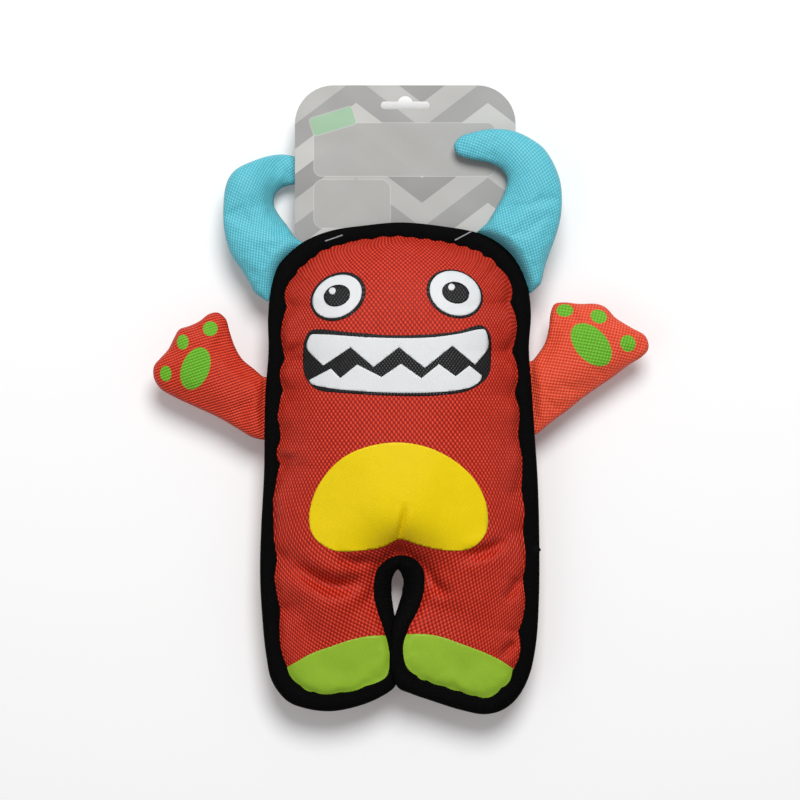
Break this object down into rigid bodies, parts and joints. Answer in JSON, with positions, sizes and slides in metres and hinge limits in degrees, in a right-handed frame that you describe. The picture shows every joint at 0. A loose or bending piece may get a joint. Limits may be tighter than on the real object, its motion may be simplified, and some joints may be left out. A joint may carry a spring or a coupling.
{
  "type": "squeaky dog toy",
  "caption": "Stuffed flat creature toy with taped edge, two arms, two curled horns, a squeaker inside and a stapled header card with a hang slot.",
  "frame": {"origin": "under the middle of the toy, on the surface it lies on with its back down", "axes": "+Z out of the face, +Y from the feet to the horns and card, +X to the viewer's right"},
  "size_m": [0.3234, 0.41, 0.058],
  "materials": {
    "red_cloth": "coarse woven coated nylon, matt with glints on the yarns",
    "turquoise_cloth": "woven polyester, matt",
    "black_tape": "ribbed binding tape, matt",
    "wadding": "loose polyester fibre",
    "face_film": "white heat-pressed film with black print, satin",
    "yellow_film": "heat-pressed film, satin",
    "green_film": "heat-pressed film, satin",
    "card": "laminated printed board, gloss",
    "steel_wire": "bright staple wire",
    "squeaker_plastic": "blown translucent plastic"
  },
  "bodies": {
    "body": {"body_front_panel": "red_cloth", "body_back_panel": "red_cloth", "body_edge_binding": "black_tape", "body_front_wadding": "wadding", "body_back_wadding": "wadding", "left_eye_print": "face_film", "right_eye_print": "face_film", "mouth_print": "face_film", "belly_print": "yellow_film", "left_foot_print": "green_film", "right_foot_print": "green_film", "header_card": "card", "left_staple": "steel_wire", "right_staple": "steel_wire", "squeaker_base": "squeaker_plastic", "squeaker_bellows": "squeaker_plastic", "squeaker_reed_tube": "squeaker_plastic", "squeaker_reed_plug": "squeaker_plastic", "left_arm_root_tab": "red_cloth", "left_horn_root_tab": "turquoise_cloth", "right_arm_root_tab": "red_cloth", "right_horn_root_tab": "turquoise_cloth"},
    "left_arm": {"left_arm_front_panel": "red_cloth", "left_arm_back_panel": "red_cloth", "left_arm_wadding": "wadding"},
    "left_horn": {"left_horn_front_panel": "turquoise_cloth", "left_horn_back_panel": "turquoise_cloth", "left_horn_wadding": "wadding"},
    "right_arm": {"right_arm_front_panel": "red_cloth", "right_arm_back_panel": "red_cloth", "right_arm_wadding": "wadding"},
    "right_horn": {"right_horn_front_panel": "turquoise_cloth", "right_horn_back_panel": "turquoise_cloth", "right_horn_wadding": "wadding"},
    "squeaker_crown": {"squeaker_crown": "squeaker_plastic"},
    "squeaker_reed": {"squeaker_reed": "squeaker_plastic"}
  },
  "joints": [
    {"name": "left_arm_bend", "type": "hinge", "parent": "body", "child": "left_arm", "pos_m": [-0.09013, -0.00564, 0.02545], "axis": [0.0159, 0.9999, 0], "range_deg": [-60, 60], "stiffness_Nm_per_rad": 0.6},
    {"name": "right_arm_bend", "type": "hinge", "parent": "body", "child": "right_arm", "pos_m": [0.08731, 0.00152, 0.02545], "axis": [0.0683, -0.9977, 0], "range_deg": [-60, 60], "stiffness_Nm_per_rad": 0.6},
    {"name": "left_horn_bend", "type": "hinge", "parent": "body", "child": "left_horn", "pos_m": [-0.08231, 0.08803, 0.02545], "axis": [0.5647, 0.8253, 0], "range_deg": [-55, 0], "stiffness_Nm_per_rad": 0.6},
    {"name": "right_horn_bend", "type": "hinge", "parent": "body", "child": "right_horn", "pos_m": [0.07348, 0.09519, 0.02545], "axis": [0.6594, -0.7518, 0], "range_deg": [0, 38], "stiffness_Nm_per_rad": 0.6},
    {"name": "squeaker_press", "type": "slide", "parent": "body", "child": "squeaker_crown", "axis": [0, 0, -1], "range_m": [0, 0.009], "stiffness_N_per_m": 700, "deforming": ["squeaker_bellows"]},
    {"name": "reed_flutter", "type": "hinge", "parent": "body", "child": "squeaker_reed", "pos_m": [-0.00059, -0.01637, 0.0185], "axis": [1, 0, 0], "range_deg": [-2, 2], "stiffness_Nm_per_rad": 0.0002}
  ]
}
